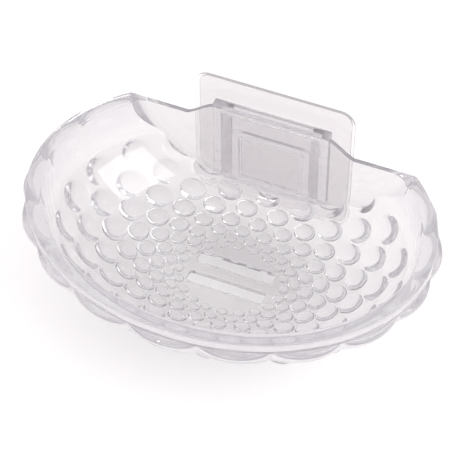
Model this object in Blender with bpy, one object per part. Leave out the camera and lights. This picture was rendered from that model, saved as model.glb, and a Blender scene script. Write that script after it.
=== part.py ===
"""Oval soap dish in clear moulded plastic that hangs on a wall bracket.

The dish is one moulding: an oval bowl with a smooth inside and lens-shaped bumps on its
outside, a flat rim with a belt of lobes under its lip, a straight back wall with a raised
middle, and a channel behind the wall. The channel slides down over a bracket on a clear carrier sheet,
and a clear adhesive layer on the sheet's back holds it to the wall. Lifting the dish
straight up takes it off the bracket.

Frame: origin at the centre of the adhesive's back face, +Y into the wall, +Z up, +X right.
"""
import math

import bmesh
import bpy
import numpy as np
from mathutils import Vector
from mathutils.geometry import delaunay_2d_cdt

MM = 0.001

# Fits between neighbouring pieces
SEAT_GAP = 0.3 * MM
LIP_GAP = 0.3 * MM

# Adhesive layer and carrier sheet
SHEET_WIDTH = 63.7 * MM
SHEET_HEIGHT = 62.0 * MM
SHEET_THICKNESS = 0.8 * MM
SHEET_CORNER_RADIUS = 6.0 * MM
ADHESIVE_THICKNESS = 0.8 * MM
ADHESIVE_MARGIN = 1.5 * MM

# Bracket: a frame that stands on the sheet and carries a wider tongue plate
FRAME_WIDTH = 31.4 * MM
FRAME_HEIGHT = 27.1 * MM
FRAME_WALL = 2.6 * MM
FRAME_DEPTH = 1.5 * MM
FRAME_CORNER_RADIUS = 2.0 * MM
TONGUE_WIDTH = 39.2 * MM
TONGUE_TOP_WIDTH = 33.0 * MM
TONGUE_THICKNESS = 1.3 * MM
TONGUE_LEAD_IN = 8.3 * MM
TONGUE_CORNER_RADIUS = 1.2 * MM
WINDOW_WIDTH = 23.2 * MM
WINDOW_HEIGHT = 22.3 * MM
WINDOW_DEPTH = 0.6 * MM
WINDOW_CORNER_RADIUS = 1.0 * MM
FRAME_BELOW_RIM = 31.7 * MM

# Rim of the dish
RIM_HALF_WIDTH = 76.5 * MM
RIM_HALF_DEPTH = 60.3 * MM
RIM_BAND = 5.5 * MM
LIP_FLARE = 0.15 * MM
LIP_DROP = 3.1 * MM
RIM_BELOW_SHEET_TOP = 18.15 * MM

# Bowl: the inner surface runs in one curve from the rim to the flat floor
BOWL_DEPTH = 40.3 * MM
FLOOR_HALF_WIDTH = 18.0 * MM
FLOOR_HALF_DEPTH = 14.1 * MM
FLOOR_SHIFT = 0.6 * MM
WALL_DRAFT = 2.5 * MM
WALL_RUN = 21.5 * MM
FLOOR_RUN_LONG = 29.3 * MM
FLOOR_RUN_SHORT = 22.9 * MM
SHELL_THICKNESS = 1.8 * MM
CAVITY_COLUMNS = 60
CAVITY_ROWS = 12

# Lens bumps: rings of twenty, staggered, that grow with the bowl
BUMPS_PER_RING = 20
BUMP_RINGS = 8
BUMP_SIDES = 10
BUMP_LOOPS = (1.0, 0.75, 0.4)
SMALL_RINGS = 3
SMALL_BUMP_LOOPS = (1.0, 0.6)
FIRST_RING_HALF_WIDTH = 20.5 * MM
RING_PITCH = 0.178
BUMP_RADIUS = 0.1
BUMP_SAG = 0.38
BUMP_ROUNDING = 1.3

# Lobes: a thick belt under the lip, from cusp to cusp, that swells in the middle of each lobe
LOBES = 18
LOBE_ROOT = 4.6 * MM
LOBE_SAG = 2.2 * MM
LOBE_DEPTH = 4.9 * MM
LOBE_HALF_HEIGHT = 9.0 * MM
LOBE_ROUNDING = 0.63
LOBE_SHOULDER = 1.6 * MM
LOBE_STEPS_ACROSS = 4
LOBE_STEPS_DOWN = 5

# Drain slots in the floor
SLOT_LENGTH = 31.0 * MM
SLOT_WIDTH = 5.2 * MM
SLOT_PITCH = 10.15 * MM
SLOT_SHIFT = 0.7 * MM
SLOT_CORNER_RADIUS = 1.0 * MM

# Back wall with its raised middle
RIM_CENTRE_TO_WALL = 37.9 * MM
BACK_WALL_THICKNESS = 1.8 * MM
WALL_FILLET_RADIUS = 8.0 * MM
WALL_FILLET_START = math.radians(42.0)
WALL_FILLET_STEPS = 3
WALL_FILLET_WELD = 1.5 * MM
CREST_HEIGHT = 7.4 * MM
CREST_HALF_WIDTH = 21.4 * MM
CREST_RAMP = 14.0 * MM
CREST_STEPS = 10
CREST_BURIED = 0.1 * MM

# Channel behind the wall
CHANNEL_SIDE = 3.3 * MM
CHANNEL_LIP = 1.0 * MM
CHANNEL_BELOW_RIM = 29.5 * MM
CHANNEL_RELIEF = 0.1 * MM
ROOF_THICKNESS = 3.2 * MM
ROOF_STEP = 0.2 * MM

# Places that follow from the sizes
SHEET_BACK = -(ADHESIVE_THICKNESS + SEAT_GAP)
SHEET_FRONT = SHEET_BACK - SHEET_THICKNESS
FRAME_BACK = SHEET_FRONT - SEAT_GAP
TONGUE_BACK = FRAME_BACK - FRAME_DEPTH
TONGUE_FRONT = TONGUE_BACK - TONGUE_THICKNESS
WALL_BACK = TONGUE_FRONT - SEAT_GAP + CHANNEL_RELIEF
WALL_FRONT = WALL_BACK - BACK_WALL_THICKNESS
RIM_CENTRE = WALL_FRONT - RIM_CENTRE_TO_WALL
RIM_TOP = SHEET_HEIGHT / 2 - RIM_BELOW_SHEET_TOP
ROOF_UNDERSIDE = CREST_HEIGHT - ROOF_STEP - ROOF_THICKNESS
TONGUE_TOP = ROOF_UNDERSIDE - SEAT_GAP

# The dish is modelled round the centre of its rim: these are its planes in that frame
PLANE_WALL_FRONT = RIM_CENTRE_TO_WALL
PLANE_WALL_BACK = PLANE_WALL_FRONT + BACK_WALL_THICKNESS
PLANE_LIP_BACK = TONGUE_BACK + LIP_GAP + CHANNEL_LIP - RIM_CENTRE

CLEAR_PLASTIC = (0.86, 0.86, 0.90, 1.0)
SHEET_FILM = (0.84, 0.83, 0.84, 1.0)
ADHESIVE_GEL = (0.90, 0.90, 0.91, 1.0)


def clear_scene():
    for item in list(bpy.data.objects):
        bpy.data.objects.remove(item, do_unlink=True)


def make_material(name, colour, roughness, transmission):
    material = bpy.data.materials.new(name)
    material.use_nodes = True
    shader = material.node_tree.nodes["Principled BSDF"]
    shader.inputs["Base Color"].default_value = colour
    shader.inputs["Roughness"].default_value = roughness
    shader.inputs["Metallic"].default_value = 0.0
    shader.inputs["IOR"].default_value = 1.5
    shader.inputs["Transmission Weight"].default_value = transmission
    return material


def object_from_bmesh(name, bm, material=None):
    bmesh.ops.recalc_face_normals(bm, faces=bm.faces)
    mesh = bpy.data.meshes.new(name)
    bm.to_mesh(mesh)
    bm.free()
    item = bpy.data.objects.new(name, mesh)
    bpy.context.collection.objects.link(item)
    if material is not None:
        mesh.materials.append(material)
    return item


def hide_tool(item):
    item.hide_render = True
    item.display_type = "WIRE"


def add_boolean(item, tool, operation):
    modifier = item.modifiers.new(tool.name, "BOOLEAN")
    modifier.operation = operation
    modifier.solver = "EXACT"
    modifier.object = tool


def rounded_rectangle(width, height, radius, centre_z, steps=5):
    """Outline points in X and Z, counter-clockwise, with arcs at the corners."""
    points = []
    for corner in range(4):
        sign_x = 1 if corner in (0, 3) else -1
        sign_z = 1 if corner in (0, 1) else -1
        middle_x = sign_x * (width / 2 - radius)
        middle_z = centre_z + sign_z * (height / 2 - radius)
        for step in range(steps + 1):
            angle = math.radians(90 * corner + 90 * step / steps)
            points.append((middle_x + radius * math.cos(angle), middle_z + radius * math.sin(angle)))
    return points


def extrude_outline(bm, outline, back, front):
    """Closed prism between two planes of constant Y from an outline in X and Z."""
    ring = [bm.verts.new((x, back, z)) for x, z in outline]
    face = bm.faces.new(ring)
    result = bmesh.ops.extrude_face_region(bm, geom=[face])
    moved = [v for v in result["geom"] if isinstance(v, bmesh.types.BMVert)]
    bmesh.ops.translate(bm, verts=moved, vec=(0, front - back, 0))


def make_box(name, low, high):
    bm = bmesh.new()
    bmesh.ops.create_cube(bm, size=1.0)
    for vert in bm.verts:
        vert.co = Vector([low[i] + (vert.co[i] + 0.5) * (high[i] - low[i]) for i in range(3)])
    return object_from_bmesh(name, bm)


def build_adhesive(material):
    width = SHEET_WIDTH - 2 * ADHESIVE_MARGIN
    height = SHEET_HEIGHT - 2 * ADHESIVE_MARGIN
    radius = SHEET_CORNER_RADIUS - ADHESIVE_MARGIN
    bm = bmesh.new()
    extrude_outline(bm, rounded_rectangle(width, height, radius, 0), 0, -ADHESIVE_THICKNESS)
    return object_from_bmesh("adhesive_layer", bm, material)


def build_sheet(material):
    outline = rounded_rectangle(SHEET_WIDTH, SHEET_HEIGHT, SHEET_CORNER_RADIUS, 0, 6)
    bm = bmesh.new()
    extrude_outline(bm, outline, SHEET_BACK, SHEET_FRONT)
    return object_from_bmesh("carrier_sheet", bm, material)


def build_bracket(material):
    """Frame that stands on the sheet, with the tongue plate that the dish slides over."""
    frame_bottom = RIM_TOP - FRAME_BELOW_RIM
    frame_centre = frame_bottom + FRAME_HEIGHT / 2
    tongue_top = RIM_TOP + TONGUE_TOP
    shoulder = tongue_top - TONGUE_LEAD_IN
    half = TONGUE_WIDTH / 2
    half_top = TONGUE_TOP_WIDTH / 2
    tongue = [(half, frame_bottom), (half, shoulder), (half_top, tongue_top),
              (-half_top, tongue_top), (-half, shoulder), (-half, frame_bottom)]
    bm = bmesh.new()
    extrude_outline(bm, tongue, TONGUE_BACK, TONGUE_FRONT)
    long_edges = [e for e in bm.edges if abs(e.verts[0].co.y - e.verts[1].co.y) > TONGUE_THICKNESS / 2]
    bmesh.ops.bevel(bm, geom=long_edges, offset=TONGUE_CORNER_RADIUS, segments=3, profile=0.5,
                    affect="EDGES")
    bracket = object_from_bmesh("bracket", bm, material)

    overlap = TONGUE_THICKNESS / 2
    bm = bmesh.new()
    outline = rounded_rectangle(FRAME_WIDTH, FRAME_HEIGHT, FRAME_CORNER_RADIUS, frame_centre)
    extrude_outline(bm, outline, FRAME_BACK, TONGUE_BACK - overlap)
    frame = object_from_bmesh("bracket_frame_tool", bm)
    add_boolean(bracket, frame, "UNION")

    bm = bmesh.new()
    outline = rounded_rectangle(FRAME_WIDTH - 2 * FRAME_WALL, FRAME_HEIGHT - 2 * FRAME_WALL,
                                FRAME_CORNER_RADIUS / 2, frame_centre, 3)
    extrude_outline(bm, outline, FRAME_BACK + FRAME_DEPTH, TONGUE_BACK)
    hollow = object_from_bmesh("bracket_hollow_tool", bm)
    add_boolean(bracket, hollow, "DIFFERENCE")

    bm = bmesh.new()
    outline = rounded_rectangle(WINDOW_WIDTH, WINDOW_HEIGHT, WINDOW_CORNER_RADIUS, frame_centre, 3)
    extrude_outline(bm, outline, TONGUE_FRONT + WINDOW_DEPTH, TONGUE_FRONT - WINDOW_DEPTH)
    window = object_from_bmesh("bracket_window_tool", bm)
    add_boolean(bracket, window, "DIFFERENCE")
    for tool in (frame, hollow, window):
        hide_tool(tool)
    return bracket


def bezier(points, t):
    a, b, c, d = points
    s = 1 - t
    return s ** 3 * a + 3 * s * s * t * b + 3 * s * t * t * c + t ** 3 * d


def inner_axes(t):
    """Half width, half depth, shift and height of the bowl's inner oval, rim at t = 0."""
    rim_long = RIM_HALF_WIDTH - RIM_BAND
    rim_short = RIM_HALF_DEPTH - RIM_BAND
    long_axis = bezier((rim_long, rim_long - WALL_DRAFT, FLOOR_HALF_WIDTH + FLOOR_RUN_LONG,
                        FLOOR_HALF_WIDTH), t)
    short_axis = bezier((rim_short, rim_short - WALL_DRAFT, FLOOR_HALF_DEPTH + FLOOR_RUN_SHORT,
                         FLOOR_HALF_DEPTH), t)
    height = bezier((0.0, -WALL_RUN, -BOWL_DEPTH, -BOWL_DEPTH), t)
    return long_axis, short_axis, FLOOR_SHIFT * t, height


def inner_point(angle, t):
    long_axis, short_axis, shift, height = inner_axes(t)
    return Vector((long_axis * math.cos(angle), short_axis * math.sin(angle) + shift, height))


def outward_normal(angle, t):
    step = 1e-3
    low, high = max(t - step, 0.0), min(t + step, 1.0)
    along = inner_point(angle, high) - inner_point(angle, low)
    around = inner_point(angle + step, t) - inner_point(angle - step, t)
    return around.cross(along).normalized() * -1.0


def skin_point(angle, t, lift):
    """Point of the outer skin, lift above the smooth shell."""
    return inner_point(angle, t) + outward_normal(angle, t) * (SHELL_THICKNESS + lift)


def growth_table(samples=400):
    """Meridian travel divided by half width, so that rings grow with the bowl."""
    ts = np.linspace(1.0, 0.0, samples)
    points = [skin_point(0.0, t, 0.0) for t in ts]
    travel = [0.0]
    for i in range(1, samples):
        step = (points[i] - points[i - 1]).length
        travel.append(travel[-1] + step / (0.5 * (points[i].x + points[i - 1].x)))
    widths = [p.x for p in points]
    heights = [p.z for p in points]
    return ts, np.array(travel), np.array(widths), np.array(heights)


def bump_height(share):
    """Height of a lens bump at a share of its radius, as a share of its sag."""
    return (1 - share * share) ** BUMP_ROUNDING


def lobe_height(u, depth):
    """Height of a lobe over the shell: u runs from -1 to 1 between cusps, depth down from the rim."""
    belly = max(0.0, 1 - ((depth - LOBE_DEPTH) / LOBE_HALF_HEIGHT) ** 2) ** LOBE_ROUNDING
    shoulder = min(1.0, max(0.0, (depth - LIP_DROP) / LOBE_SHOULDER))
    return belly * (LOBE_ROOT + LOBE_SAG * (1 - u * u) * math.sqrt(1 - (1 - shoulder) ** 2))


def on_right_half(angle):
    return abs(angle) < math.pi / 2 + 1e-6


def build_outer_half():
    """Right half of the dish's outer body, closed except along its mirror plane."""
    ts, travel, widths, heights = growth_table()
    first_ring = float(np.interp(FIRST_RING_HALF_WIDTH, widths, travel))
    top_travel = float(np.interp(-LIP_DROP, heights, travel))
    quarter = math.pi / 2
    flat, lifts, edges = [], [], []

    def add(angle, level, lift):
        flat.append(Vector((max(-quarter, min(quarter, angle)), level)))
        lifts.append(lift)
        return len(flat) - 1

    # Corners of the flat floor: half as many as the rim has
    rim_columns = LOBES * LOBE_STEPS_ACROSS // 2
    for step in range(0, rim_columns + 1, 2):
        add(-quarter + math.pi * step / rim_columns, 0.0, 0.0)

    # Lens bumps: rings of corners round a centre
    squash = (FLOOR_HALF_DEPTH + FLOOR_RUN_SHORT) / (FLOOR_HALF_WIDTH + FLOOR_RUN_LONG)
    for ring in range(BUMP_RINGS):
        level = first_ring + ring * RING_PITCH
        sag = BUMP_SAG * BUMP_RADIUS * float(np.interp(level, travel, widths))
        shares = SMALL_BUMP_LOOPS if ring < SMALL_RINGS else BUMP_LOOPS
        for index in range(BUMPS_PER_RING):
            stagger = 0.5 if ring % 2 == 0 else 0.0
            angle = math.remainder(2 * math.pi * (index + stagger) / BUMPS_PER_RING, 2 * math.pi)
            if not on_right_half(angle):
                continue
            half_angle = BUMP_RADIUS / math.hypot(math.sin(angle), squash * math.cos(angle))
            for share in shares:
                loop = []
                for side in range(BUMP_SIDES):
                    turn = quarter + 2 * math.pi * side / BUMP_SIDES
                    place = angle + share * half_angle * math.cos(turn)
                    height = level + share * BUMP_RADIUS * math.sin(turn)
                    corner = on_right_half(place)
                    loop.append(add(place, height, sag * bump_height(share)) if corner else None)
                edges += [e for e in zip(loop, loop[1:] + loop[:1]) if None not in e]
            add(angle, level, sag)

    # Lobes: a patch each, from one cusp to the next and from the lip down to the shell
    for index in range(LOBES):
        middle = math.remainder(2 * math.pi * (index + 0.5) / LOBES, 2 * math.pi)
        if not on_right_half(middle):
            continue
        rows = []
        for across in range(LOBE_STEPS_ACROSS + 1):
            u = 2 * across / LOBE_STEPS_ACROSS - 1
            place = middle + u * math.pi / LOBES
            if not on_right_half(place):
                continue
            row = []
            for down in range(LOBE_STEPS_DOWN + 1):
                share = 0.5 - 0.5 * math.cos(math.pi * down / LOBE_STEPS_DOWN)
                depth = LIP_DROP + share * (LOBE_DEPTH + LOBE_HALF_HEIGHT - LIP_DROP)
                level = float(np.interp(-depth, heights, travel))
                row.append(add(place, level, lobe_height(u, depth)))
            rows.append(row)
        for row in rows:
            edges += list(zip(row, row[1:]))
        for row, following in zip(rows, rows[1:]):
            edges += list(zip(row, following))

    points, _, faces, origins, _, _ = delaunay_2d_cdt(flat, edges, [], 0, 1e-7)
    bm = bmesh.new()
    verts = []
    for point, origin in zip(points, origins):
        t = float(np.interp(point.y, travel, ts))
        lift = lifts[origin[0]] if origin else 0.0
        place = skin_point(point.x, t, lift)
        if abs(abs(point.x) - quarter) < 1e-6:
            place.x = 0.0
        verts.append(bm.verts.new(place))
    for face in faces:
        bm.faces.new([verts[i] for i in face])

    # Boundary loops of the skin, from the front of the mirror plane round to the back
    top = [v for v, p in zip(verts, points) if abs(p.y - top_travel) < 1e-6]
    floor = [v for v, p in zip(verts, points) if abs(p.y) < 1e-6]
    top.sort(key=lambda v: v.co.y)
    floor.sort(key=lambda v: v.co.y)
    bm.faces.new(floor)

    def rim_loop(outset, height):
        loop = []
        for step in range(rim_columns + 1):
            angle = -quarter + math.pi * step / rim_columns
            x = (RIM_HALF_WIDTH + outset) * math.cos(angle)
            if step in (0, rim_columns):
                x = 0.0
            loop.append(bm.verts.new((x, (RIM_HALF_DEPTH + outset) * math.sin(angle), height)))
        return loop

    loops = [top, rim_loop(LIP_FLARE, -LIP_DROP), rim_loop(0.0, 0.0)]
    for lower, upper in zip(loops, loops[1:]):
        for a, b, c, d in zip(lower, lower[1:], upper[1:], upper):
            bm.faces.new((a, b, c, d))
    bm.faces.new(loops[-1])
    return bm


def build_cavity_tool():
    """The bowl's inside, cut off at the wall and rounded into it with a fillet."""
    above = CREST_HEIGHT + 2 * WALL_FILLET_RADIUS
    bm = bmesh.new()
    loops = []
    for row in range(-1, CAVITY_ROWS + 1):
        t = max(row, 0) / CAVITY_ROWS
        loop = []
        for column in range(CAVITY_COLUMNS):
            point = inner_point(2 * math.pi * column / CAVITY_COLUMNS, t)
            if row < 0:
                point.z = above
            loop.append(bm.verts.new(point))
        loops.append(loop)
    for upper, lower in zip(loops, loops[1:]):
        for i in range(CAVITY_COLUMNS):
            j = (i + 1) % CAVITY_COLUMNS
            bm.faces.new((upper[i], lower[i], lower[j], upper[j]))
    bm.faces.new(loops[0])
    bm.faces.new(loops[-1])
    bmesh.ops.recalc_face_normals(bm, faces=bm.faces)

    reach = WALL_FILLET_RADIUS * (1 - math.sin(WALL_FILLET_START))
    plane = PLANE_WALL_FRONT - reach
    geometry = bm.verts[:] + bm.edges[:] + bm.faces[:]
    cut = bmesh.ops.bisect_plane(bm, geom=geometry, plane_co=(0, plane, 0), plane_no=(0, 1, 0),
                                 clear_outer=True)
    cut_verts = [v for v in cut["geom_cut"] if isinstance(v, bmesh.types.BMVert)]
    bmesh.ops.remove_doubles(bm, verts=cut_verts, dist=WALL_FILLET_WELD)
    cap = bmesh.ops.contextual_create(bm, geom=[e for e in bm.edges if e.is_boundary])["faces"]
    bmesh.ops.recalc_face_normals(bm, faces=bm.faces)
    for step in range(WALL_FILLET_STEPS):
        turn = math.pi / 2 - WALL_FILLET_START
        start = WALL_FILLET_START + turn * step / WALL_FILLET_STEPS
        end = WALL_FILLET_START + turn * (step + 1) / WALL_FILLET_STEPS
        inset = WALL_FILLET_RADIUS * (math.cos(start) - math.cos(end))
        forward = WALL_FILLET_RADIUS * (math.sin(end) - math.sin(start))
        bmesh.ops.inset_individual(bm, faces=cap, thickness=inset, depth=forward,
                                   use_even_offset=True)
    return object_from_bmesh("bowl_cavity_tool", bm)


def crest_outline():
    """Outline of the wall's raised middle: level top with an S-curve down at each side."""
    right = []
    for step in range(CREST_STEPS + 1):
        share = step / CREST_STEPS
        fall = share * share * (3 - 2 * share)
        height = (CREST_HEIGHT + CREST_BURIED) * (1 - fall) - CREST_BURIED
        right.append((CREST_HALF_WIDTH + CREST_RAMP * share, height))
    foot = -2 * LIP_DROP
    left = [(-x, z) for x, z in reversed(right)]
    return [(-right[-1][0], foot), (right[-1][0], foot)] + right[::-1] + left[::-1]


def build_channel_tool():
    """Block behind the wall and the T-shaped slot in it for the tongue, under a roof."""
    slot_half = TONGUE_WIDTH / 2 + SEAT_GAP
    mouth_half = FRAME_WIDTH / 2 + SEAT_GAP
    outer_half = slot_half + CHANNEL_SIDE
    lip_front = PLANE_LIP_BACK - CHANNEL_LIP
    block = make_box("channel_block_tool",
                     (-outer_half, PLANE_WALL_BACK - BACK_WALL_THICKNESS / 2, -CHANNEL_BELOW_RIM),
                     (outer_half, PLANE_LIP_BACK, CREST_HEIGHT - ROOF_STEP))
    slot_front = PLANE_WALL_BACK - CHANNEL_RELIEF
    profile = [(-slot_half, slot_front), (slot_half, slot_front), (slot_half, lip_front),
               (mouth_half, lip_front), (mouth_half, PLANE_LIP_BACK + CHANNEL_LIP),
               (-mouth_half, PLANE_LIP_BACK + CHANNEL_LIP), (-mouth_half, lip_front),
               (-slot_half, lip_front)]
    bm = bmesh.new()
    face = bm.faces.new([bm.verts.new((x, y, ROOF_UNDERSIDE)) for x, y in profile])
    result = bmesh.ops.extrude_face_region(bm, geom=[face])
    moved = [v for v in result["geom"] if isinstance(v, bmesh.types.BMVert)]
    bmesh.ops.translate(bm, verts=moved, vec=(0, 0, -2 * CHANNEL_BELOW_RIM))
    slot = object_from_bmesh("channel_slot_tool", bm)
    return block, slot


def build_slot_tool(name, centre_y):
    bm = bmesh.new()
    bmesh.ops.create_cube(bm, size=1.0)
    for vert in bm.verts:
        vert.co.x *= SLOT_LENGTH
        vert.co.y = vert.co.y * SLOT_WIDTH + centre_y
        vert.co.z = vert.co.z * 4 * SHELL_THICKNESS - BOWL_DEPTH
    upright = [e for e in bm.edges if abs(e.verts[0].co.z - e.verts[1].co.z) > SHELL_THICKNESS]
    bmesh.ops.bevel(bm, geom=upright, offset=SLOT_CORNER_RADIUS, segments=3, profile=0.5,
                    affect="EDGES")
    return object_from_bmesh(name, bm)


def build_dish(material):
    dish = object_from_bmesh("dish", build_outer_half(), material)
    mirror = dish.modifiers.new("other_half", "MIRROR")
    mirror.use_axis = (True, False, False)
    mirror.use_mirror_merge = True
    mirror.merge_threshold = 0.00001

    bm = bmesh.new()
    extrude_outline(bm, crest_outline(), PLANE_WALL_BACK + BACK_WALL_THICKNESS,
                    PLANE_WALL_FRONT - BACK_WALL_THICKNESS)
    crest = object_from_bmesh("crest_tool", bm)
    far = 2 * RIM_HALF_WIDTH
    trim = make_box("back_trim_tool", (-far, PLANE_WALL_BACK, -far), (far, far, far))
    block, slot = build_channel_tool()
    cavity = build_cavity_tool()
    slots = [build_slot_tool("drain_slot_tool_%d" % (i + 1), SLOT_SHIFT + side * SLOT_PITCH / 2)
             for i, side in enumerate((-1, 1))]

    add_boolean(dish, crest, "UNION")
    add_boolean(dish, trim, "DIFFERENCE")
    add_boolean(dish, block, "UNION")
    add_boolean(dish, slot, "DIFFERENCE")
    add_boolean(dish, cavity, "DIFFERENCE")
    for tool in slots:
        add_boolean(dish, tool, "DIFFERENCE")
    for tool in [crest, trim, block, slot, cavity] + slots:
        hide_tool(tool)
        tool.parent = dish

    # The empty sits on the line that the dish slides along when it is lifted off
    slide = bpy.data.objects.new("dish_slide", None)
    bpy.context.collection.objects.link(slide)
    slide.location = (0, (TONGUE_FRONT + TONGUE_BACK) / 2, RIM_TOP + TONGUE_TOP)
    dish.parent = slide
    dish.location = Vector((0, RIM_CENTRE, RIM_TOP)) - slide.location
    return dish


def main():
    clear_scene()
    plastic = make_material("clear_plastic", CLEAR_PLASTIC, 0.05, 0.9)
    film = make_material("sheet_film", SHEET_FILM, 0.12, 0.8)
    gel = make_material("adhesive_gel", ADHESIVE_GEL, 0.25, 0.8)
    build_adhesive(gel)
    build_sheet(film)
    build_bracket(plastic)
    build_dish(plastic)


main()
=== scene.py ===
"""Looks of the clear oval soap dish on its wall bracket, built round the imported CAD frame."""
import math

import bmesh
import bpy
import numpy as np
from mathutils import Matrix, Vector
from mathutils.geometry import delaunay_2d_cdt


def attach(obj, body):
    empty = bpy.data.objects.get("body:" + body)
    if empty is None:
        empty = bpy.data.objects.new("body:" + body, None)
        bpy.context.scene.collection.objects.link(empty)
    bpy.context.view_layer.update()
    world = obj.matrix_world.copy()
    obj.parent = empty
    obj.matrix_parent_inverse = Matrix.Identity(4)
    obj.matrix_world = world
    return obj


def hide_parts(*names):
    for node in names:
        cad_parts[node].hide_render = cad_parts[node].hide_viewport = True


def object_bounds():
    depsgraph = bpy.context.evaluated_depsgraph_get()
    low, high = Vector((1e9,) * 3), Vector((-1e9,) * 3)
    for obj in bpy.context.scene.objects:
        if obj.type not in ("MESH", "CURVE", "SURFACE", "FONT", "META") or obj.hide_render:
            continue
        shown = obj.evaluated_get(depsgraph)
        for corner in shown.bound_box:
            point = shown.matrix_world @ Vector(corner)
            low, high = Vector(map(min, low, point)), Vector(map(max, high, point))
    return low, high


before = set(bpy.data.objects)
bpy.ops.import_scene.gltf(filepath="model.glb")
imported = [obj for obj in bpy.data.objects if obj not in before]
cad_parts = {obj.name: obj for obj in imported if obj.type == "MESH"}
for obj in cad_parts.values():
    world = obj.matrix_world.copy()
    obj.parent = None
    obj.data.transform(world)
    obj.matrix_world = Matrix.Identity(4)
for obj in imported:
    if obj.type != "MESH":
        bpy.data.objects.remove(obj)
cad_low, cad_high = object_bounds()
bpy.ops.object.select_all(action="DESELECT")

MM = 0.001

# Camera: looks down on the dish from the front right, as in the photograph
CAMERA_AZIMUTH = math.radians(23.134)
CAMERA_ELEVATION = math.radians(49.111)
CAMERA_ROLL = math.radians(-0.544)
CAMERA_DISTANCE = 645.22 * MM
CAMERA_LENS = 140.29
CAMERA_SENSOR = 36.0
AIM_RIGHT = 0.217 * MM
AIM_UP = -8.333 * MM
RIM_TOP = 12.85 * MM
RIM_CENTRE_Y = -44.9 * MM
RIM_CENTRE = Vector((0.0, RIM_CENTRE_Y, RIM_TOP))

back = Vector((math.sin(CAMERA_AZIMUTH) * math.cos(CAMERA_ELEVATION),
               -math.cos(CAMERA_AZIMUTH) * math.cos(CAMERA_ELEVATION),
               math.sin(CAMERA_ELEVATION)))
level = Vector((math.cos(CAMERA_AZIMUTH), math.sin(CAMERA_AZIMUTH), 0.0))
upright = back.cross(level)
right = level * math.cos(CAMERA_ROLL) + upright * math.sin(CAMERA_ROLL)
up = upright * math.cos(CAMERA_ROLL) - level * math.sin(CAMERA_ROLL)
place = RIM_CENTRE + right * AIM_RIGHT + up * AIM_UP + back * CAMERA_DISTANCE
bpy.ops.object.camera_add(location=place)
camera = bpy.context.object
camera.name = "photo_camera"
camera.matrix_world = Matrix.Translation(place) @ Matrix((right, up, back)).transposed().to_4x4()
camera.data.lens = CAMERA_LENS
camera.data.sensor_width = CAMERA_SENSOR
camera.data.clip_start = 0.01
bpy.context.scene.camera = camera

# Studio: a bright tent lights the dish. The camera, and what is seen in or through the plastic,
# gets white paper behind and pale paper below instead.
TENT_LEVEL = (1.22, 1.19, 1.2, 1)
TENT_OVERHEAD = (1.12, 1.1, 1.1, 1)
WHITE = (1, 1, 1, 1)
FLOOR_SIZE = 4.0
FLOOR_BELOW_PART = 14 * MM
PAPER_SEEN, PAPER_SEEN_GLOW = (0.75, 0.737, 0.742, 1), 0.18
PAPER_LIT, PAPER_LIT_GLOW = (0.36, 0.352, 0.355, 1), 0.36
PAPER_GLOW_COLOUR = (1, 0.985, 0.99, 1)
PAPER_ROUGHNESS = 0.9
COLOUR_A, COLOUR_B = 6, 7
VALUE_A, VALUE_B, COLOUR_OUT = 2, 3, 2


def add_node(tree, kind, inputs=(), **settings):
    """Adds a node, sets its settings, and fills its inputs by value or by link."""
    node = tree.nodes.new(kind)
    for name, value in settings.items():
        setattr(node, name, value)
    for name, value in dict(inputs).items():
        if isinstance(value, bpy.types.NodeSocket):
            tree.links.new(value, node.inputs[name])
        else:
            node.inputs[name].default_value = value
    return node


def sees_background(tree):
    """1 for camera, glossy and transmission rays, which show the background, and 0 for the others."""
    paths = add_node(tree, "ShaderNodeLightPath")
    direct = add_node(tree, "ShaderNodeMath", {0: paths.outputs["Is Camera Ray"],
                                               1: paths.outputs["Is Glossy Ray"]}, operation="MAXIMUM")
    every = add_node(tree, "ShaderNodeMath", {0: direct.outputs[0],
                                              1: paths.outputs["Is Transmission Ray"]}, operation="MAXIMUM")
    return every.outputs[0]


bpy.context.scene.view_settings.view_transform = "Standard"
world = bpy.data.worlds.new("studio")
bpy.context.scene.world = world
world.use_nodes = True
tree = world.node_tree
tree.nodes.clear()
direction = add_node(tree, "ShaderNodeTexCoord")
split = add_node(tree, "ShaderNodeSeparateXYZ", {"Vector": direction.outputs["Generated"]})
ramp = add_node(tree, "ShaderNodeValToRGB", {"Fac": split.outputs["Z"]})
ramp.color_ramp.elements[0].color = TENT_LEVEL
ramp.color_ramp.elements[1].color = TENT_OVERHEAD
tent = add_node(tree, "ShaderNodeBackground", {"Color": ramp.outputs["Color"], "Strength": 1.0})
paper = add_node(tree, "ShaderNodeBackground", {"Color": WHITE, "Strength": 1.0})
mixed = add_node(tree, "ShaderNodeMixShader", {0: sees_background(tree),
                                               1: tent.outputs[0], 2: paper.outputs[0]})
add_node(tree, "ShaderNodeOutputWorld", {"Surface": mixed.outputs[0]})

bpy.ops.mesh.primitive_plane_add(size=FLOOR_SIZE, location=(0, 0, cad_low[2] - FLOOR_BELOW_PART))
floor = bpy.context.object
floor.name = "floor"
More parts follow.
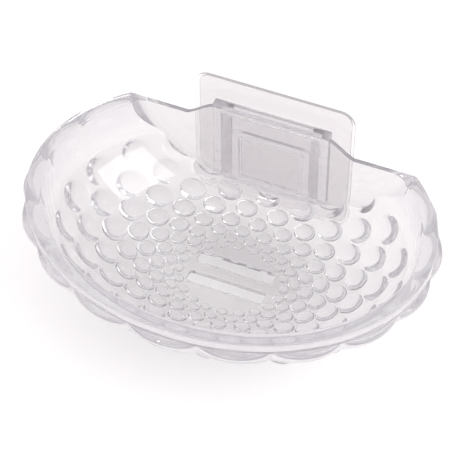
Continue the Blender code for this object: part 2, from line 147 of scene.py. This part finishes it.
# Matt paper: no shine, and only the dish's soft shadow on it
paper_material = bpy.data.materials.new("floor_paper")
paper_material.use_nodes = True
tree = paper_material.node_tree
shader = tree.nodes["Principled BSDF"]
shader.inputs["Roughness"].default_value = PAPER_ROUGHNESS
shader.inputs["Specular IOR Level"].default_value = 0.0
shader.inputs["Emission Color"].default_value = PAPER_GLOW_COLOUR
seen = sees_background(tree)
shade = add_node(tree, "ShaderNodeMix", {0: seen, COLOUR_A: PAPER_LIT, COLOUR_B: PAPER_SEEN},
                 data_type="RGBA")
glow = add_node(tree, "ShaderNodeMix", {0: seen, VALUE_A: PAPER_LIT_GLOW, VALUE_B: PAPER_SEEN_GLOW})
tree.links.new(shade.outputs[COLOUR_OUT], shader.inputs["Base Color"])
tree.links.new(glow.outputs[0], shader.inputs["Emission Strength"])
floor.data.materials.append(paper_material)


def lamp(name, azimuth, elevation, distance, width, height, radiance):
    """Rectangular softbox that only shows as a reflection; the tent gives the light."""
    side, rise = math.radians(azimuth), math.radians(elevation)
    toward = Vector((math.sin(side) * math.cos(rise), -math.cos(side) * math.cos(rise), math.sin(rise)))
    bpy.ops.object.light_add(type="AREA", location=RIM_CENTRE + toward * distance)
    item = bpy.context.object
    item.name = name
    item.rotation_euler = toward.to_track_quat("Z", "Y").to_euler()
    item.data.shape = "RECTANGLE"
    item.data.size, item.data.size_y = width, height
    item.data.energy = radiance * math.pi * width * height
    item.data.diffuse_factor = 0.0


lamp("softbox_right", azimuth=76, elevation=35, distance=1.0, width=0.80, height=0.66, radiance=3.4)
lamp("spark_front", azimuth=-16, elevation=22, distance=1.2, width=0.09, height=0.09, radiance=30.0)
lamp("spark_above", azimuth=20, elevation=85, distance=1.2, width=0.06, height=0.06, radiance=14.0)

# adhesive_pad: the soft pad that holds everything on the wall. Clear gel, cast in a sheet and cut out
# with rounded corners; its back lies on the wall and its front is stuck to the film.
ADHESIVE_WIDTH, ADHESIVE_HEIGHT, ADHESIVE_THICKNESS = 60.7 * MM, 59.0 * MM, 0.8 * MM
ADHESIVE_CORNER = 4.5 * MM
CUT_EDGE = 0.15 * MM
CORNER_STEPS, EDGE_STEPS = 10, 2
FLAT_FACE = 12 * MM * MM
FLAT_TURN = math.radians(3)
GREEN_LOSS, BLUE_LOSS = 0.01, 0.005


def linear(hex_colour):
    """sRGB hex to linear RGBA."""
    channels = [int(hex_colour[i:i + 2], 16) / 255 for i in (1, 3, 5)]
    return tuple(c / 12.92 if c <= 0.04045 else ((c + 0.055) / 1.055) ** 2.4 for c in channels) + (1.0,)


def clear_plastic(name, painted_glow, density, haze=0.0, roughness=0.01, ior=1.49, tint=0.97):
    """Clear resin, a trace pinker than neutral; inside it absorbs and gives off a painted glow that stands
    for light its long inner paths gather.
    """
    material = bpy.data.materials.new(name)
    material.use_nodes = True
    tree = material.node_tree
    shader = tree.nodes["Principled BSDF"]
    shader.inputs["Base Color"].default_value = (tint, tint - GREEN_LOSS, tint - BLUE_LOSS, 1)
    shader.inputs["Roughness"].default_value = roughness
    shader.inputs["IOR"].default_value = ior
    shader.inputs["Transmission Weight"].default_value = 1.0 - haze
    absorb = add_node(tree, "ShaderNodeVolumeAbsorption", {"Color": (0, 0, 0, 1), "Density": density})
    # Painted glow: the volume emits its own colour, so thick parts glow pale whatever the lamps do
    painted_glow_shader = add_node(tree, "ShaderNodeEmission", {"Color": linear(painted_glow), "Strength": density})
    inside = add_node(tree, "ShaderNodeAddShader", {0: absorb.outputs[0], 1: painted_glow_shader.outputs[0]})
    tree.links.new(inside.outputs[0], tree.nodes["Material Output"].inputs["Volume"])
    return material


def only_select(piece):
    """Makes one object the active and only selected one."""
    bpy.ops.object.select_all(action="DESELECT")
    piece.select_set(True)
    bpy.context.view_layer.objects.active = piece


def select_edges(piece, test):
    """Enters edit mode with only the edges selected that pass the test."""
    only_select(piece)
    bpy.ops.object.mode_set(mode="EDIT")
    bpy.ops.mesh.select_mode(type="EDGE")
    bpy.ops.mesh.select_all(action="DESELECT")
    shape = bmesh.from_edit_mesh(piece.data)
    for edge in shape.edges:
        edge.select_set(test(edge))
    bmesh.update_edit_mesh(piece.data)


def runs_along(edge, axis, size):
    """Whether an edge spans more than this size along an axis."""
    return abs(edge.verts[0].co[axis] - edge.verts[1].co[axis]) > size


def slab(name, width, height, back, front, centre_z, corner, edge_radius):
    """Upright plate with rounded corners and, where a radius is given, softened edges."""
    bpy.ops.mesh.primitive_cube_add(size=1.0, location=(0, (back + front) / 2, centre_z),
                                    scale=(width, back - front, height))
    piece = bpy.context.object
    piece.name = name
    bpy.ops.object.transform_apply(location=True, rotation=True, scale=True)
    select_edges(piece, lambda e: runs_along(e, 1, (back - front) / 2))
    bpy.ops.mesh.bevel(offset=corner, segments=CORNER_STEPS, affect="EDGES")
    bpy.ops.object.mode_set(mode="OBJECT")
    if edge_radius:
        select_edges(piece, lambda e: not runs_along(e, 1, (back - front) / 2))
        bpy.ops.mesh.bevel(offset=edge_radius, segments=EDGE_STEPS, affect="EDGES")
        bpy.ops.object.mode_set(mode="OBJECT")
    return piece


def finish_piece(piece, material, node, body, smooth=25.0):
    """Gives a piece its material and shading, with large flats kept flat, and hands it over."""
    only_select(piece)
    piece.data.materials.clear()
    piece.data.materials.append(material)
    shape = bmesh.new()
    shape.from_mesh(piece.data)
    for edge in shape.edges:
        big = [f for f in edge.link_faces if f.calc_area() > FLAT_FACE]
        edge.smooth = not (big and edge.calc_face_angle(0.0) > FLAT_TURN)
    shape.to_mesh(piece.data)
    shape.free()
    bpy.ops.object.shade_smooth_by_angle(angle=math.radians(smooth))
    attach(piece, body)
    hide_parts(node)


# Cast gel: its skin is slightly dull, so that what lies behind it blurs; a faint painted white glow fills it
gel = clear_plastic("adhesive_gel_cast", painted_glow="#FAF6F8", density=60.0, roughness=0.25, ior=1.41, tint=0.93)
adhesive = slab("adhesive_pad", ADHESIVE_WIDTH, ADHESIVE_HEIGHT, 0.0, -ADHESIVE_THICKNESS, 0.0,
                ADHESIVE_CORNER, CUT_EDGE)
finish_piece(adhesive, gel, "adhesive_layer", "wall_plate")

# sheet_film: the nearly square sheet that shows behind the dish. Clear vinyl film, rolled and punched
# out with rounded corners; the gel sticks to its back and the bracket stands on its front.
SEAT_GAP = 0.3 * MM
SHEET_WIDTH, SHEET_HEIGHT, SHEET_THICKNESS = 63.7 * MM, 62.0 * MM, 0.8 * MM
SHEET_CORNER = 6.0 * MM
SHEET_BACK = -(ADHESIVE_THICKNESS + SEAT_GAP)
SHEET_FRONT = SHEET_BACK - SHEET_THICKNESS

# Rolled film: clear and nearly glossy, and a little softer in its reflections than a moulding; a faint
# painted white glow fills it
film = clear_plastic("vinyl_film_rolled", painted_glow="#FAF6F8", density=90.0, roughness=0.06, ior=1.5, tint=0.93)
sheet = slab("sheet_film", SHEET_WIDTH, SHEET_HEIGHT, SHEET_BACK, SHEET_FRONT, 0.0, SHEET_CORNER, CUT_EDGE)
finish_piece(sheet, film, "carrier_sheet", "wall_plate")

# bracket_tongue: the hook that the dish hangs on. One clear moulding, a hollow frame on the film with a
# wider plate in front, narrower at the top, that the channel behind the dish slides down over.
FRAME_WIDTH, FRAME_HEIGHT, FRAME_DEPTH, FRAME_CORNER = 31.4 * MM, 27.1 * MM, 1.5 * MM, 2.0 * MM
FRAME_BELOW_RIM = 31.7 * MM
FRAME_INTO_TONGUE = 0.65 * MM
HOLLOW_WIDTH, HOLLOW_HEIGHT, HOLLOW_CORNER = 26.2 * MM, 21.9 * MM, 1.0 * MM
WINDOW_WIDTH, WINDOW_HEIGHT, WINDOW_CORNER, WINDOW_DEPTH = 23.2 * MM, 22.3 * MM, 1.0 * MM, 0.6 * MM
TONGUE_WIDTH, TONGUE_TOP_WIDTH, TONGUE_TAPER = 39.2 * MM, 33.0 * MM, 8.3 * MM
TONGUE_THICKNESS, TONGUE_CORNER = 1.3 * MM, 1.2 * MM
TONGUE_ABOVE_RIM = 3.7 * MM
BRACKET_EDGE, BRACKET_EDGE_STEPS = 0.2 * MM, 2
BRACKET_EDGE_TURN = math.radians(50)
FRAME_BACK = SHEET_FRONT - SEAT_GAP
TONGUE_BACK = FRAME_BACK - FRAME_DEPTH
TONGUE_FRONT = TONGUE_BACK - TONGUE_THICKNESS
FRAME_BOTTOM = RIM_TOP - FRAME_BELOW_RIM
TONGUE_TOP = RIM_TOP + TONGUE_ABOVE_RIM
TAPER_START = TONGUE_TOP - TONGUE_TAPER
tongue_middle = (FRAME_BOTTOM + TONGUE_TOP) / 2
frame_middle = FRAME_BOTTOM + FRAME_HEIGHT / 2


def cut_or_join(piece, tool, operation):
    """Applies one exact Boolean and deletes its tool."""
    only_select(piece)
    modifier = piece.modifiers.new("shape", "BOOLEAN")
    modifier.operation = operation
    modifier.solver = "EXACT"
    modifier.object = tool
    bpy.ops.object.modifier_apply(modifier=modifier.name)
    bpy.data.objects.remove(tool, do_unlink=True)


# Moulded styrene, thin and clear: bright inside from a painted pale glow, with crisp reflections along its
# edges
bracket_plastic = clear_plastic("clear_styrene_bracket", painted_glow="#F4F1F8", density=80.0)
bracket = slab("bracket_tongue", TONGUE_WIDTH, TONGUE_TOP - FRAME_BOTTOM, TONGUE_BACK, TONGUE_FRONT,
               tongue_middle, TONGUE_CORNER, 0.0)
bpy.ops.object.mode_set(mode="EDIT")
bpy.ops.mesh.select_all(action="SELECT")
bpy.ops.mesh.bisect(plane_co=(0, 0, TAPER_START), plane_no=(0, 0, 1))
bpy.ops.object.mode_set(mode="OBJECT")
for vert in bracket.data.vertices:
    rise = vert.co.z - TAPER_START
    if rise > 0:
        vert.co.x *= 1 - (1 - TONGUE_TOP_WIDTH / TONGUE_WIDTH) * rise / TONGUE_TAPER
cut_or_join(bracket, slab("bracket_frame", FRAME_WIDTH, FRAME_HEIGHT, FRAME_BACK,
                          TONGUE_BACK - FRAME_INTO_TONGUE, frame_middle, FRAME_CORNER, 0.0), "UNION")
cut_or_join(bracket, slab("bracket_hollow", HOLLOW_WIDTH, HOLLOW_HEIGHT, FRAME_BACK + FRAME_DEPTH,
                          TONGUE_BACK, frame_middle, HOLLOW_CORNER, 0.0), "DIFFERENCE")
cut_or_join(bracket, slab("bracket_window", WINDOW_WIDTH, WINDOW_HEIGHT, TONGUE_FRONT + WINDOW_DEPTH,
                          TONGUE_FRONT - WINDOW_DEPTH, frame_middle, WINDOW_CORNER, 0.0), "DIFFERENCE")
only_select(bracket)
soften = bracket.modifiers.new("soften", "BEVEL")
soften.width = BRACKET_EDGE
soften.segments = BRACKET_EDGE_STEPS
soften.limit_method = "ANGLE"
soften.angle_limit = BRACKET_EDGE_TURN
bpy.ops.object.modifier_apply(modifier=soften.name)
finish_piece(bracket, bracket_plastic, "bracket", "wall_plate")

# dish_shell: the dish itself. One clear moulding with lens bumps outside the bowl, a belt of lobes under
# the lip, two drain slots, and a flat back wall with a raised crest and the channel for the tongue.
# It is built in its own frame, with the middle of the rim as origin, and moved into place at the end.
RIM_HALF_WIDTH, RIM_HALF_DEPTH, RIM_BAND = 76.5 * MM, 60.3 * MM, 5.5 * MM
LIP_FLARE, LIP_DROP = 0.15 * MM, 3.1 * MM
EDGE_RADIUS = 0.35 * MM
BOWL_DEPTH, SHELL = 40.3 * MM, 1.8 * MM
FLOOR_HALF_WIDTH, FLOOR_HALF_DEPTH, FLOOR_SHIFT = 18.0 * MM, 14.1 * MM, 0.6 * MM
FLOOR_RUN_LONG, FLOOR_RUN_SHORT = 29.3 * MM, 22.9 * MM
WALL_DRAFT, WALL_RUN = 2.5 * MM, 21.5 * MM
WALL_FRONT, WALL_BACK = 37.9 * MM, 39.7 * MM
DISH_SMOOTH = 28.0

# Bumps: radius and pitch in radians of travel over the shell, sag in bump radii, ring by ring
BUMPS_PER_RING, BUMP_RINGS = 20, 8
FIRST_RING_HALF_WIDTH = 20.5 * MM
RING_PITCH, BUMP_RADIUS = 0.178, 0.106
BUMP_SAG = (0.48, 0.5, 0.52, 0.52, 0.5, 0.47, 0.43, 0.4)
BUMP_ROUNDING = (0.65, 0.65, 0.68, 0.72, 0.8, 1.0, 1.2, 1.4)
BUMP_LOOPS = (1.0, 0.97, 0.91, 0.83, 0.73, 0.6, 0.45, 0.3, 0.14)
BUMP_SIDES, SMALL_BUMP_SIDES, SMALL_RINGS = 28, 18, 3

# Lobes: depths are measured down from the rim
LOBES, LOBE_ROOT, LOBE_SAG = 18, 4.52 * MM, 2.2 * MM
LOBE_DEPTH, LOBE_HALF_HEIGHT, LOBE_ROUNDING, LOBE_SHOULDER = 4.9 * MM, 9.0 * MM, 0.63, 1.6 * MM
LOBE_FOOT_START, LOBE_FOOT = 11.6 * MM, 15.9 * MM
LOBE_ACROSS, LOBE_DOWN = 16, 26

# Mesh of the outside: points along the path, columns round the rim, and the plain net between bumps,
# whose clearance from a bump is a squared distance in bump radii
PATH_POINTS = 800
RIM_COLUMNS, FLOOR_COLUMN_STEP = 144, 3
PLAIN_ROWS, PLAIN_COLUMNS, PLAIN_MARGIN, PLAIN_CLEARANCE = 60, 91, 0.01, 1.15
LIP_EDGE_SHARES = (0.0, 0.33, 0.67, 1.0)
RIM_EDGE_SHARES = (0.0, 0.2, 0.4, 0.6, 0.8, 1.0)
SAME, WELD = 1e-6, 1e-5

# Cavity: its rows start a little below the rim, and its rolled edge is given in radians
FILLET, FILLET_START, FILLET_STEPS = 8.0 * MM, math.radians(42), 6
CAVITY_COLUMNS, CAVITY_ROWS, CAVITY_START = 180, 44, 0.006
CAVITY_EDGE_TURNS = (0.0, 0.52, 1.05)
CAVITY_WELD = 0.9 * MM

CREST_HEIGHT, CREST_HALF_WIDTH, CREST_RAMP = 7.4 * MM, 21.4 * MM, 14.0 * MM
CREST_STEPS, CREST_SUNK, CREST_EDGE = 24, 0.1 * MM, 0.45 * MM
CREST_EDGE_TURNS = tuple(math.radians(a) for a in (24, 46, 68, 90))
CREST_BEFORE_WALL, CREST_PAST_WALL = 1.7 * MM, 1.8 * MM

CHANNEL_LIP, CHANNEL_WALL, CHANNEL_INTO_WALL = 1.0 * MM, 3.3 * MM, 0.9 * MM
CHANNEL_BOTTOM, CHANNEL_TOP = -29.5 * MM, 7.2 * MM
SLOT_INTO_WALL, SLOT_TOP = 0.1 * MM, TONGUE_ABOVE_RIM + SEAT_GAP
MOUTH_INTO_SLOT, MOUTH_PAST_LIP = 0.5 * MM, 1.0 * MM
LIP_BACK = TONGUE_BACK + SEAT_GAP + CHANNEL_LIP - RIM_CENTRE_Y

DRAIN_SHIFT, DRAIN_PITCH, DRAIN_REACH = 0.7 * MM, 10.15 * MM, 4 * MM
DRAIN_HALF_LENGTH, DRAIN_HALF_WIDTH = 15.5 * MM, 2.6 * MM
DRAIN_CORNER, DRAIN_CORNER_STEPS = 1.0 * MM, 5


def bezier(points, t):
    """Point of a cubic curve at t."""
    a, b, c, d = points
    s = 1 - t
    return s ** 3 * a + 3 * s * s * t * b + 3 * s * t * t * c + t ** 3 * d


def inner(angle, t):
    """Points of the smooth bowl inside, for arrays of angle and t (rim 0, floor 1)."""
    rim_long, rim_short = RIM_HALF_WIDTH - RIM_BAND, RIM_HALF_DEPTH - RIM_BAND
    long_axis = bezier((rim_long, rim_long - WALL_DRAFT, FLOOR_HALF_WIDTH + FLOOR_RUN_LONG,
                        FLOOR_HALF_WIDTH), t)
    short_axis = bezier((rim_short, rim_short - WALL_DRAFT, FLOOR_HALF_DEPTH + FLOOR_RUN_SHORT,
                         FLOOR_HALF_DEPTH), t)
    height = bezier((0.0, -WALL_RUN, -BOWL_DEPTH, -BOWL_DEPTH), t)
    return np.stack([long_axis * np.cos(angle), short_axis * np.sin(angle) + FLOOR_SHIFT * t, height], -1)


def skin(angle, t, lift):
    """Points of the outside, lift above the plain shell."""
    angle, t, lift = (np.asarray(v, float) for v in (angle, t, lift))
    step = 1e-3
    along = inner(angle, np.minimum(t + step, 1)) - inner(angle, np.maximum(t - step, 0))
    around = inner(angle + step, t) - inner(angle - step, t)
    normal = np.cross(along, around)
    normal /= np.linalg.norm(normal, axis=-1, keepdims=True)
    return inner(angle, t) + normal * (SHELL + lift)[..., None]


def object_from(name, bm):
    """Turns a bmesh into an object, with its faces facing out."""
    bmesh.ops.recalc_face_normals(bm, faces=bm.faces)
    mesh = bpy.data.meshes.new(name)
    bm.to_mesh(mesh)
    bm.free()
    item = bpy.data.objects.new(name, mesh)
    bpy.context.collection.objects.link(item)
    return item


def box(name, low, high):
    """Plain box between two corners."""
    bpy.ops.mesh.primitive_cube_add(size=1.0, location=[(a + b) / 2 for a, b in zip(low, high)],
                                    scale=[b - a for a, b in zip(low, high)])
    item = bpy.context.object
    item.name = name
    bpy.ops.object.transform_apply(location=True, rotation=True, scale=True)
    return item


# Travel: the way up the outside from floor to rim, each step divided by the half width where it is
levels = np.linspace(1.0, 0.0, PATH_POINTS)
meridian = skin(np.zeros(PATH_POINTS), levels, np.zeros(PATH_POINTS))
steps = np.linalg.norm(np.diff(meridian, axis=0), axis=1)
travel = np.concatenate([[0], np.cumsum(steps / (0.5 * (meridian[1:, 0] + meridian[:-1, 0])))])
top_travel = float(np.interp(-LIP_DROP, meridian[:, 2], travel))
first_ring = float(np.interp(FIRST_RING_HALF_WIDTH, meridian[:, 0], travel))
lobe_foot = float(np.interp(-LOBE_FOOT, meridian[:, 2], travel))
quarter = math.pi / 2
flat, lifts, edges, known = [], [], [], {}


def on_right_half(angle):
    """Only the right half is meshed; a mirror makes the left."""
    return abs(angle) < quarter + SAME


def belly(depth):
    """Share of a lobe's full height at this depth."""
    return (1 - ((depth - LOBE_DEPTH) / LOBE_HALF_HEIGHT) ** 2) ** LOBE_ROUNDING


def lobe_height(u, depth):
    """Height of a lobe over the shell: u runs from -1 to 1 between cusps, depth down from the rim."""
    if depth < LOBE_FOOT_START:
        swell = belly(depth)
    else:
        step = 1e-5
        start = belly(LOBE_FOOT_START)
        slope = (start - belly(LOBE_FOOT_START - step)) / step
        run = LOBE_FOOT - LOBE_FOOT_START
        share = (depth - LOBE_FOOT_START) / run
        swell = start * (1 - share) ** 2 * (1 + 2 * share) + slope * run * share * (1 - share) ** 2
    shoulder = min(1.0, max(0.0, (depth - LIP_DROP) / LOBE_SHOULDER))
    return swell * (LOBE_ROOT + LOBE_SAG * (1 - u * u) * math.sqrt(1 - (1 - shoulder) ** 2))


def add_spot(angle, level, lift):
    """Index of the spot at this angle and level; neighbouring patches share theirs."""
    spot = (round(max(-quarter, min(quarter, angle)), 6), round(level, 6))
    if spot not in known:
        known[spot] = len(flat)
        flat.append(spot)
        lifts.append(lift)
    return known[spot]


def clear_of_bumps(angle, at):
    """Whether a spot of the plain net lies far enough from every bump."""
    return all(((angle - b[0]) / b[2]) ** 2 + ((at - b[1]) / BUMP_RADIUS) ** 2 > PLAIN_CLEARANCE
               for b in bumps)


# Outside, laid out flat over angle and travel: the floor's edge, the bumps, the lobes, the plain net
for column in range(0, RIM_COLUMNS + 1, FLOOR_COLUMN_STEP):
    add_spot(-quarter + math.pi * column / RIM_COLUMNS, 0.0, 0.0)
squash = (FLOOR_HALF_DEPTH + FLOOR_RUN_SHORT) / (FLOOR_HALF_WIDTH + FLOOR_RUN_LONG)
bumps = []
for ring in range(BUMP_RINGS):
    at = first_ring + ring * RING_PITCH
    sag = BUMP_SAG[ring] * BUMP_RADIUS * float(np.interp(at, travel, meridian[:, 0]))
    sides = SMALL_BUMP_SIDES if ring < SMALL_RINGS else BUMP_SIDES
    for index in range(BUMPS_PER_RING):
        angle = math.remainder(2 * math.pi * (index + (0.5 if ring % 2 == 0 else 0)) / BUMPS_PER_RING,
                               2 * math.pi)
        if not on_right_half(angle):
            continue
        half_angle = BUMP_RADIUS / math.hypot(math.sin(angle), squash * math.cos(angle))
        bumps.append((angle, at, half_angle))
        for share in BUMP_LOOPS:
            rise = sag * (1 - share * share) ** BUMP_ROUNDING[ring]
            loop = []
            for side in range(sides):
                turn = quarter + 2 * math.pi * side / sides
                spot = angle + share * half_angle * math.cos(turn)
                loop.append(add_spot(spot, at + share * BUMP_RADIUS * math.sin(turn), rise)
                            if on_right_half(spot) else None)
            edges += [e for e in zip(loop, loop[1:] + loop[:1]) if None not in e]
for index in range(LOBES):
    middle = math.remainder(2 * math.pi * (index + 0.5) / LOBES, 2 * math.pi)
    if not on_right_half(middle):
        continue
    rows = []
    for across in range(LOBE_ACROSS + 1):
        u = 2 * across / LOBE_ACROSS - 1
        spot = middle + u * math.pi / LOBES
        if not on_right_half(spot):
            continue
        row = []
        for down in range(LOBE_DOWN + 1):
            share = 0.5 - 0.5 * math.cos(math.pi * (down / LOBE_DOWN))
            depth = LIP_DROP + share * (LOBE_FOOT - LIP_DROP)
            at = float(np.interp(-depth, meridian[:, 2], travel))
            row.append(add_spot(spot, at, lobe_height(u, depth)))
        rows.append(row)
    for row in rows:
        edges += list(zip(row, row[1:]))
    for row, following in zip(rows, rows[1:]):
        edges += list(zip(row, following))
for row in range(1, PLAIN_ROWS):
    at = lobe_foot * row / PLAIN_ROWS
    for column in range(1, PLAIN_COLUMNS):
        angle = -quarter + math.pi * (column + 0.5 * (row % 2)) / PLAIN_COLUMNS
        if abs(angle) < quarter - PLAIN_MARGIN and clear_of_bumps(angle, at):
            add_spot(angle, at, 0.0)

# The flat net is triangulated and lifted onto the shell, then closed with the lip, the rim and the floor
points, _, faces, origins, _, _ = delaunay_2d_cdt([Vector(p) for p in flat], edges, [], 0, WELD)
spots = np.array([tuple(p) for p in points])
heights = np.array([max(lifts[i] for i in o) if o else 0.0 for o in origins])
places = skin(spots[:, 0], np.interp(spots[:, 1], travel, levels), heights)
places[np.abs(np.abs(spots[:, 0]) - quarter) < SAME, 0] = 0.0
bm = bmesh.new()
verts = [bm.verts.new(p) for p in places]
for face in faces:
    bm.faces.new([verts[i] for i in face])
top = sorted((v for v, s in zip(verts, spots) if abs(s[1] - top_travel) < SAME), key=lambda v: v.co.y)
base = sorted((v for v, s in zip(verts, spots) if abs(s[1]) < SAME), key=lambda v: v.co.y)
bm.faces.new(base)


def rim_loop(outset, height):
    """Half loop of vertices round the rim, moved out and up."""
    loop = []
    for column in range(RIM_COLUMNS + 1):
        angle = -quarter + math.pi * column / RIM_COLUMNS
        x = 0.0 if column in (0, RIM_COLUMNS) else (RIM_HALF_WIDTH + outset) * math.cos(angle)
        loop.append(bm.verts.new((x, (RIM_HALF_DEPTH + outset) * math.sin(angle), height)))
    return loop


lip_slope = math.atan2(LIP_FLARE, LIP_DROP)
loops = [top]
for share in LIP_EDGE_SHARES:
    a = -math.pi / 2 + share * (math.pi / 2 + lip_slope)
    loops.append(rim_loop(LIP_FLARE - EDGE_RADIUS + EDGE_RADIUS * math.cos(a),
                          -LIP_DROP + EDGE_RADIUS + EDGE_RADIUS * math.sin(a)))
for share in RIM_EDGE_SHARES:
    a = lip_slope + share * (math.pi / 2 - lip_slope)
    loops.append(rim_loop(-EDGE_RADIUS + EDGE_RADIUS * math.cos(a), -EDGE_RADIUS + EDGE_RADIUS * math.sin(a)))
for lower, upper in zip(loops, loops[1:]):
    for a, b, c, d in zip(lower, lower[1:], upper[1:], upper):
        bm.faces.new((a, b, c, d))
bm.faces.new(loops[-1])
dish = object_from("dish_shell", bm)
only_select(dish)
mirror = dish.modifiers.new("other_half", "MIRROR")
mirror.merge_threshold = WELD
bpy.ops.object.modifier_apply(modifier=mirror.name)

# Cavity: the bowl's inside with a rolled rim edge, cut flat at the back and filleted into the wall
above = CREST_HEIGHT + 2 * FILLET
angles = np.arange(CAVITY_COLUMNS) * 2 * math.pi / CAVITY_COLUMNS
profile = [(EDGE_RADIUS, above)]
profile += [(EDGE_RADIUS * (1 - math.sin(a)), -EDGE_RADIUS * (1 - math.cos(a))) for a in CAVITY_EDGE_TURNS]
rings = []
for outset, z in profile:
    ring = inner(angles, np.zeros(CAVITY_COLUMNS))
    ring[:, 0] += outset * np.cos(angles)
    ring[:, 1] += outset * np.sin(angles)
    ring[:, 2] = z
    rings.append(ring)
for row in range(CAVITY_ROWS + 1):
    t = CAVITY_START + (1 - CAVITY_START) * row / CAVITY_ROWS
    rings.append(inner(angles, np.full(CAVITY_COLUMNS, t)))
bm = bmesh.new()
rings = [[bm.verts.new(p) for p in ring] for ring in rings]
for upper, lower in zip(rings, rings[1:]):
    for a, b, c, d in zip(upper, lower, lower[1:] + lower[:1], upper[1:] + upper[:1]):
        bm.faces.new((a, b, c, d))
bm.faces.new(rings[0])
bm.faces.new(rings[-1])
bmesh.ops.recalc_face_normals(bm, faces=bm.faces)
plane = WALL_FRONT - FILLET * (1 - math.sin(FILLET_START))
cut = bmesh.ops.bisect_plane(bm, geom=bm.verts[:] + bm.edges[:] + bm.faces[:], plane_co=(0, plane, 0),
                             plane_no=(0, 1, 0), clear_outer=True)
bmesh.ops.remove_doubles(bm, verts=[v for v in cut["geom_cut"] if isinstance(v, bmesh.types.BMVert)],
                         dist=CAVITY_WELD)
cap = bmesh.ops.contextual_create(bm, geom=[e for e in bm.edges if e.is_boundary])["faces"]
bmesh.ops.recalc_face_normals(bm, faces=bm.faces)
for step in range(FILLET_STEPS):
    turn = math.pi / 2 - FILLET_START
    start = FILLET_START + turn * step / FILLET_STEPS
    end = FILLET_START + turn * (step + 1) / FILLET_STEPS
    bmesh.ops.inset_individual(bm, faces=cap, thickness=FILLET * (math.cos(start) - math.cos(end)),
                               depth=FILLET * (math.sin(end) - math.sin(start)), use_even_offset=True)
cavity = object_from("bowl_cavity", bm)

# Crest: the raised middle of the back wall, with ramps at its ends and rounded edges front and back
outline = []
for step in range(CREST_STEPS + 1):
    share = step / CREST_STEPS
    fall = share * share * (3 - 2 * share)
    outline.append((CREST_HALF_WIDTH + CREST_RAMP * share,
                    (CREST_HEIGHT + CREST_SUNK) * (1 - fall) - CREST_SUNK))
foot = -2 * LIP_DROP
left = [(-x, z) for x, z in reversed(outline)]
outline = [(-outline[-1][0], foot), (outline[-1][0], foot)] + outline[::-1] + left[::-1]
rounding = [(CREST_EDGE * (1 - math.cos(a)), CREST_EDGE * (1 - math.sin(a))) for a in CREST_EDGE_TURNS]
sections = [(WALL_FRONT - CREST_BEFORE_WALL, CREST_EDGE)]
sections += [(WALL_FRONT + inward, drop) for inward, drop in rounding]
sections += [(WALL_BACK - inward, drop) for inward, drop in rounding[::-1]]
sections.append((WALL_BACK + CREST_PAST_WALL, CREST_EDGE))
bm = bmesh.new()
rings = [[bm.verts.new((x, y, z - drop)) for x, z in outline] for y, drop in sections]
for near, far in zip(rings, rings[1:]):
    for a, b, c, d in zip(near, near[1:] + near[:1], far[1:] + far[:1], far):
        bm.faces.new((a, b, c, d))
bm.faces.new(rings[0])
bm.faces.new(rings[-1])
cut_or_join(dish, object_from("crest", bm), "UNION")
beyond = 2 * RIM_HALF_WIDTH
cut_or_join(dish, box("back_trim", (-beyond, WALL_BACK, -beyond), (beyond, beyond, beyond)), "DIFFERENCE")

# Channel: a block behind the wall with a slot for the tongue and a narrower mouth for the frame
slot_half = TONGUE_WIDTH / 2 + SEAT_GAP
outer_half = slot_half + CHANNEL_WALL
mouth_half = FRAME_WIDTH / 2 + SEAT_GAP
lip_front = LIP_BACK - CHANNEL_LIP
past_bottom = 2 * CHANNEL_BOTTOM
block = box("channel_block", (-outer_half, WALL_BACK - CHANNEL_INTO_WALL, CHANNEL_BOTTOM),
            (outer_half, LIP_BACK, CHANNEL_TOP))
cut_or_join(dish, block, "UNION")
slot = box("channel_slot", (-slot_half, WALL_BACK - SLOT_INTO_WALL, past_bottom),
           (slot_half, lip_front, SLOT_TOP))
cut_or_join(slot, box("channel_mouth", (-mouth_half, lip_front - MOUTH_INTO_SLOT, past_bottom),
                      (mouth_half, LIP_BACK + MOUTH_PAST_LIP, SLOT_TOP)), "UNION")
cut_or_join(dish, slot, "DIFFERENCE")
cut_or_join(dish, cavity, "DIFFERENCE")

# Drain slots: two long holes side by side in the floor
for side in (-1, 1):
    centre = DRAIN_SHIFT + side * DRAIN_PITCH / 2
    drain = box("drain", (-DRAIN_HALF_LENGTH, centre - DRAIN_HALF_WIDTH, -BOWL_DEPTH - DRAIN_REACH),
                (DRAIN_HALF_LENGTH, centre + DRAIN_HALF_WIDTH, -BOWL_DEPTH + DRAIN_REACH))
    select_edges(drain, lambda e: runs_along(e, 2, MM))
    bpy.ops.mesh.bevel(offset=DRAIN_CORNER, segments=DRAIN_CORNER_STEPS, affect="EDGES")
    bpy.ops.object.mode_set(mode="OBJECT")
    cut_or_join(dish, drain, "DIFFERENCE")

# Moulded styrene, thicker: a greyish cast where light crosses a wall, and a painted pale violet-grey glow in
# its thick edges
plastic = clear_plastic("clear_styrene_moulded", painted_glow="#DCD8DF", density=38.0, haze=0.03, tint=0.86)
dish.data.transform(Matrix.Translation((0, RIM_CENTRE_Y, RIM_TOP)))
finish_piece(dish, plastic, "dish", "dish_body", DISH_SMOOTH)
